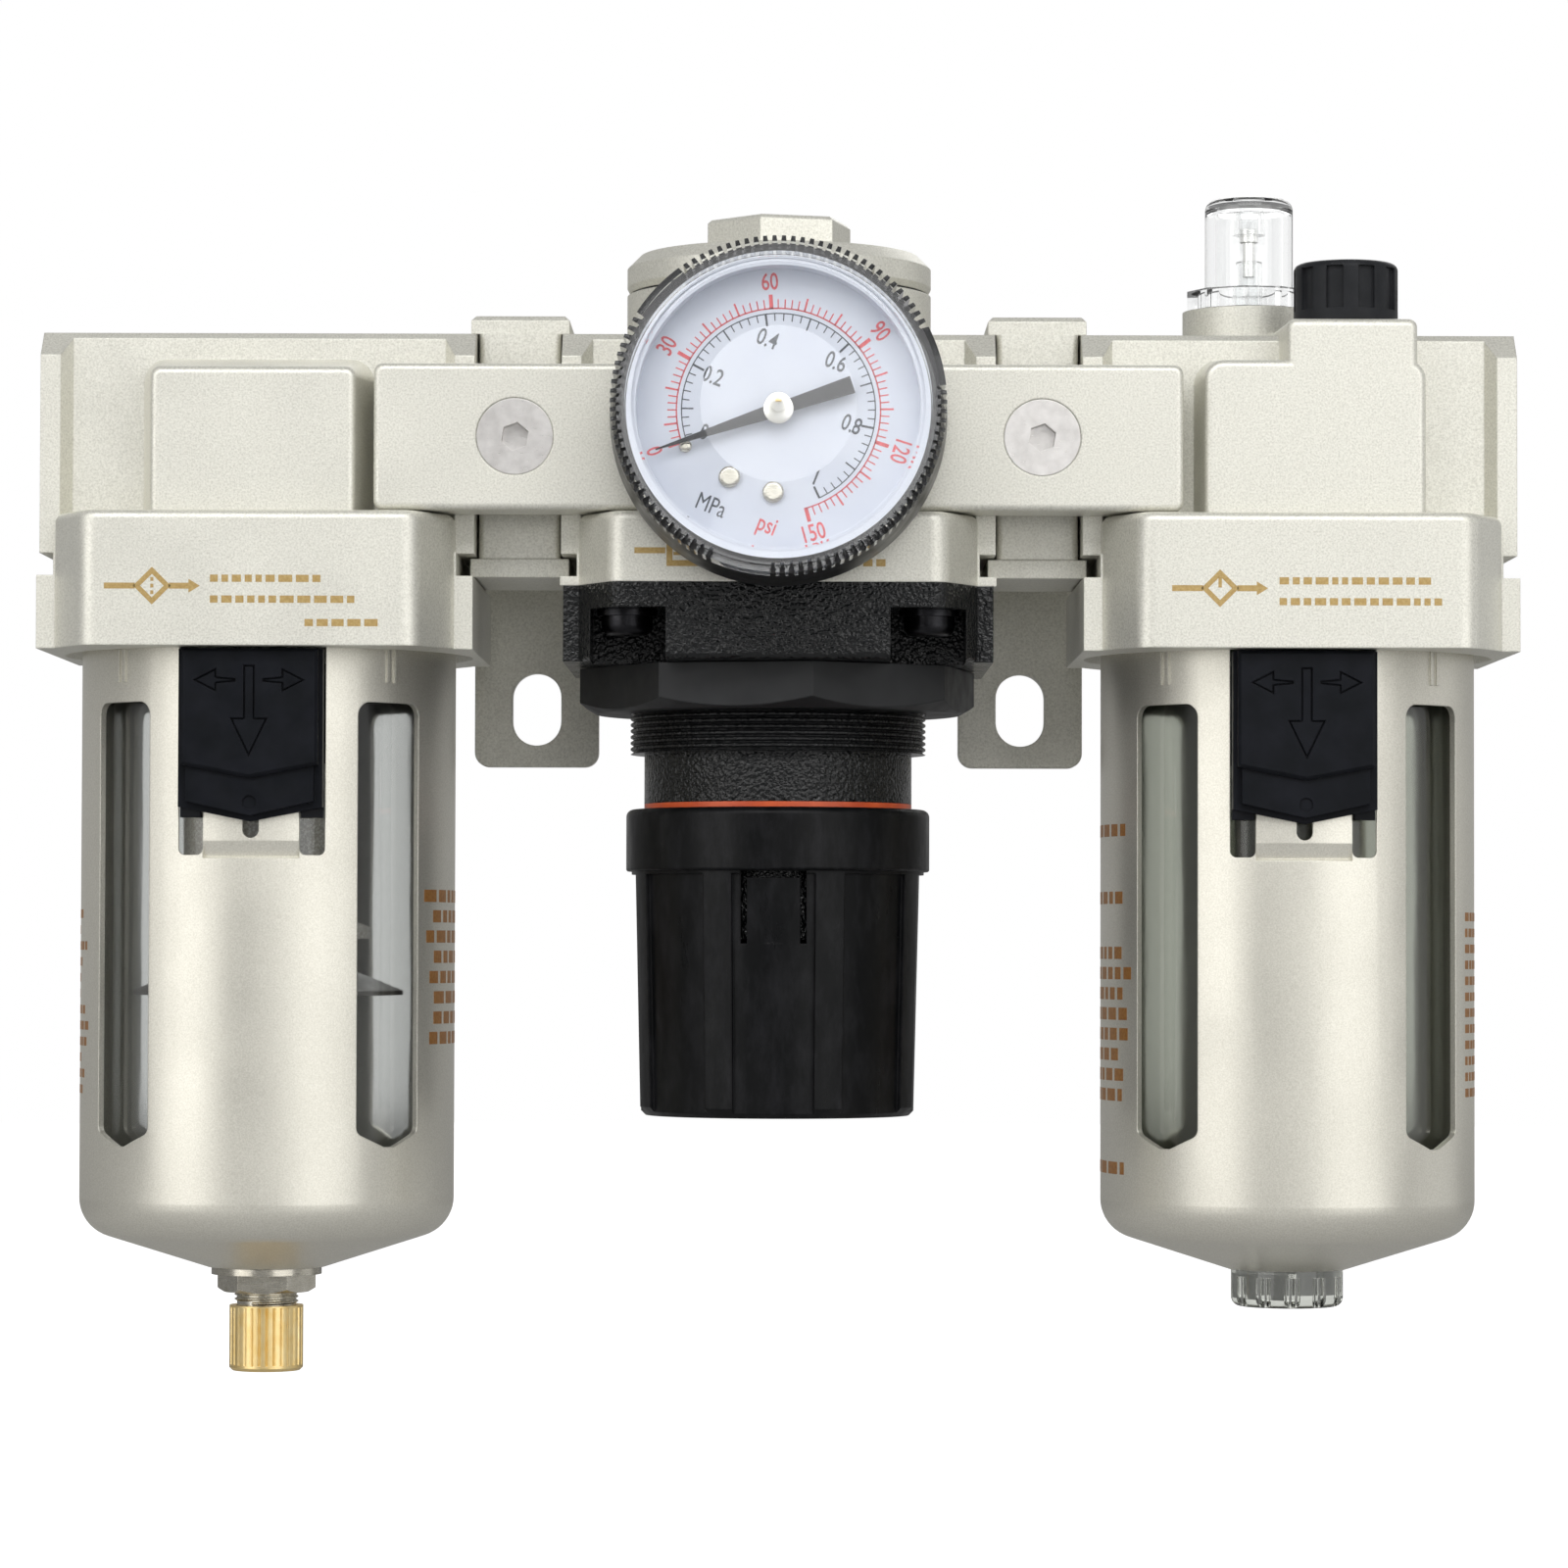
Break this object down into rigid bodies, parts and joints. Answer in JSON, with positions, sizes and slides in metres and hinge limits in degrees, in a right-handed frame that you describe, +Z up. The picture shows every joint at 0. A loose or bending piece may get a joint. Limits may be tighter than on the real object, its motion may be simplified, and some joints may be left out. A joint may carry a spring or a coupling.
{
  "type": "filter regulator lubricator",
  "caption": "Compressed-air filter, pressure regulator with gauge and oil lubricator joined in a row by spacers, with guarded clear bowls and wall brackets.",
  "frame": {"origin": "midway between the centres of the two wall slots, on the wall face of the bracket tabs", "axes": "+X along the air flow from inlet to outlet, +Y into the wall, +Z up; the gauge faces -Y"},
  "size_m": [0.238, 0.1155, 0.1943],
  "materials": {
    "cast_body": "satin metallic paint, fine speckle",
    "guard_metal": "satin metallic paint",
    "black_cast": "wrinkle black paint",
    "black_nut": "matte black",
    "knob_plastic": "satin black moulded plastic",
    "button_plastic": "satin black moulded plastic",
    "gauge_case_plastic": "black moulded plastic",
    "clear_plastic": "clear polycarbonate",
    "dial_white": "pale printed dial",
    "pointer_black": "matt black",
    "brass": "machined",
    "nickel": "nickel plated",
    "zinc_steel": "zinc plated",
    "spring_steel": "bright wire",
    "black_screw": "black oxide",
    "rubber": "nitrile rubber",
    "orange_plastic": "orange band",
    "filter_media": "sintered porous resin",
    "inner_plastic": "moulded resin",
    "sintered_bronze": "sintered bronze"
  },
  "bodies": {
    "root": {"filter_body": "cast_body", "deflector": "inner_plastic", "filter_element": "filter_media", "element_baffle": "inner_plastic", "element_stud": "zinc_steel", "regulator_body": "cast_body", "valve_cap": "cast_body", "valve_cap_seal": "rubber", "valve_spring": "spring_steel", "diaphragm": "rubber", "bonnet": "black_cast", "bonnet_screws": "black_screw", "panel_nut": "black_nut", "adjusting_spring": "spring_steel", "lock_ring": "orange_plastic", "gauge_case": "gauge_case_plastic", "gauge_cover": "clear_plastic", "gauge_stem": "brass", "gauge_dial": "dial_white", "bourdon_tube": "sintered_bronze", "gauge_dial_screws": "nickel", "gauge_port_plug": "zinc_steel", "lubricator_body": "cast_body", "drip_tube": "clear_plastic", "siphon_tube": "inner_plastic", "siphon_strainer": "sintered_bronze", "flow_vane": "inner_plastic", "spacers": "cast_body", "spacer_seals": "rubber", "clamp_plates": "cast_body", "clamp_screws": "zinc_steel", "wall_brackets": "cast_body", "bracket_screws": "zinc_steel"},
    "filter_bowl": {"filter_bowl": "clear_plastic", "filter_bowl_seal": "rubber", "drain_guide": "nickel", "drain_seal": "rubber", "drain_washer": "nickel", "drain_nut": "nickel"},
    "filter_guard": {"filter_guard": "guard_metal", "filter_lock_spring": "spring_steel"},
    "filter_lock": {"filter_lock_button": "button_plastic"},
    "drain_knob": {"drain_knob": "brass"},
    "drain_pin": {"drain_pin": "nickel"},
    "valve": {"poppet_valve": "brass", "diaphragm_disc": "zinc_steel"},
    "adjusting_screw": {"adjusting_screw": "zinc_steel"},
    "spring_seat": {"spring_seat": "zinc_steel"},
    "knob": {"knob": "knob_plastic"},
    "gauge_pointer": {"gauge_pointer": "pointer_black"},
    "sight_dome": {"sight_dome": "clear_plastic"},
    "drip_needle": {"drip_needle": "brass"},
    "filler_seal": {"filler_plug_seal": "rubber"},
    "filler_plug": {"filler_plug": "knob_plastic"},
    "lubricator_bowl": {"lubricator_bowl": "clear_plastic", "lubricator_bowl_seal": "rubber"},
    "lubricator_guard": {"lubricator_guard": "guard_metal", "lubricator_lock_spring": "spring_steel"},
    "lubricator_lock": {"lubricator_lock_button": "button_plastic"}
  },
  "joints": [
    {"name": "filter_bowl_drop", "type": "slide", "parent": "root", "child": "filter_bowl", "axis": [0, 0, -1], "range_m": [0, 0.112]},
    {"name": "filter_guard_turn", "type": "hinge", "parent": "filter_bowl", "child": "filter_guard", "pos_m": [-0.084, -0.05, -0.05], "axis": [0, 0, 1], "range_deg": [-45, 45]},
    {"name": "filter_lock_slide", "type": "slide", "parent": "filter_guard", "child": "filter_lock", "axis": [0, 0, -1], "range_m": [0, 0.003], "stiffness_N_per_m": 300, "springref_m": -0.005, "deforming": ["filter_lock_spring"]},
    {"name": "lubricator_bowl_drop", "type": "slide", "parent": "root", "child": "lubricator_bowl", "axis": [0, 0, -1], "range_m": [0, 0.112]},
    {"name": "lubricator_guard_turn", "type": "hinge", "parent": "lubricator_bowl", "child": "lubricator_guard", "pos_m": [0.084, -0.05, -0.05], "axis": [0, 0, 1], "range_deg": [-45, 45]},
    {"name": "lubricator_lock_slide", "type": "slide", "parent": "lubricator_guard", "child": "lubricator_lock", "axis": [0, 0, -1], "range_m": [0, 0.003], "stiffness_N_per_m": 300, "springref_m": -0.005, "deforming": ["lubricator_lock_spring"]},
    {"name": "drain_knob_turn", "type": "hinge", "parent": "filter_bowl", "child": "drain_knob", "pos_m": [-0.084, -0.05, -0.105], "axis": [0, 0, 1], "range_deg": [0, 360]},
    {"name": "drain_pin_lift", "type": "slide", "parent": "filter_bowl", "child": "drain_pin", "axis": [0, 0, 1], "range_m": [0, 0.0015]},
    {"name": "valve_lift", "type": "slide", "parent": "root", "child": "valve", "axis": [0, 0, 1], "range_m": [0, 0.0012], "stiffness_N_per_m": 1500, "springref_m": -0.002, "deforming": ["valve_spring", "diaphragm"]},
    {"name": "adjusting_screw_turn", "type": "hinge", "parent": "root", "child": "adjusting_screw", "pos_m": [0, -0.05, -0.04], "axis": [0, 0, 1], "range_deg": [-1080, 1080]},
    {"name": "spring_seat_travel", "type": "slide", "parent": "root", "child": "spring_seat", "axis": [0, 0, 1], "range_m": [-0.0045, 0.0045], "deforming": ["adjusting_spring"]},
    {"name": "knob_push", "type": "slide", "parent": "adjusting_screw", "child": "knob", "axis": [0, 0, 1], "range_m": [0, 0.0025]},
    {"name": "gauge_pointer_turn", "type": "hinge", "parent": "root", "child": "gauge_pointer", "pos_m": [0, -0.1052, 0.0422], "axis": [0, 1, 0], "range_deg": [0, 270], "stiffness_Nm_per_rad": 0.002, "springref_deg": -5.73},
    {"name": "sight_dome_turn", "type": "hinge", "parent": "root", "child": "sight_dome", "pos_m": [0.0783, -0.044, 0.066], "axis": [0, 0, 1], "range_deg": [0, 300]},
    {"name": "drip_needle_lift", "type": "slide", "parent": "root", "child": "drip_needle", "axis": [0, 0, 1], "range_m": [0, 0.001]},
    {"name": "filler_plug_lift", "type": "slide", "parent": "root", "child": "filler_seal", "axis": [0, 0, 1], "range_m": [0, 0.015]},
    {"name": "filler_plug_turn", "type": "hinge", "parent": "filler_seal", "child": "filler_plug", "pos_m": [0.0917, -0.07, 0.064], "axis": [0, 0, 1], "range_deg": [0, 3600]}
  ],
  "couplings": [
    {"joint": "drain_knob_turn", "follows": "drain_pin_lift", "rad_per_m": 4188.8},
    {"joint": "adjusting_screw_turn", "follows": "spring_seat_travel", "rad_per_m": 4188.8},
    {"joint": "sight_dome_turn", "follows": "drip_needle_lift", "rad_per_m": 5236},
    {"joint": "filler_plug_turn", "follows": "filler_plug_lift", "rad_per_m": 4188.8}
  ]
}
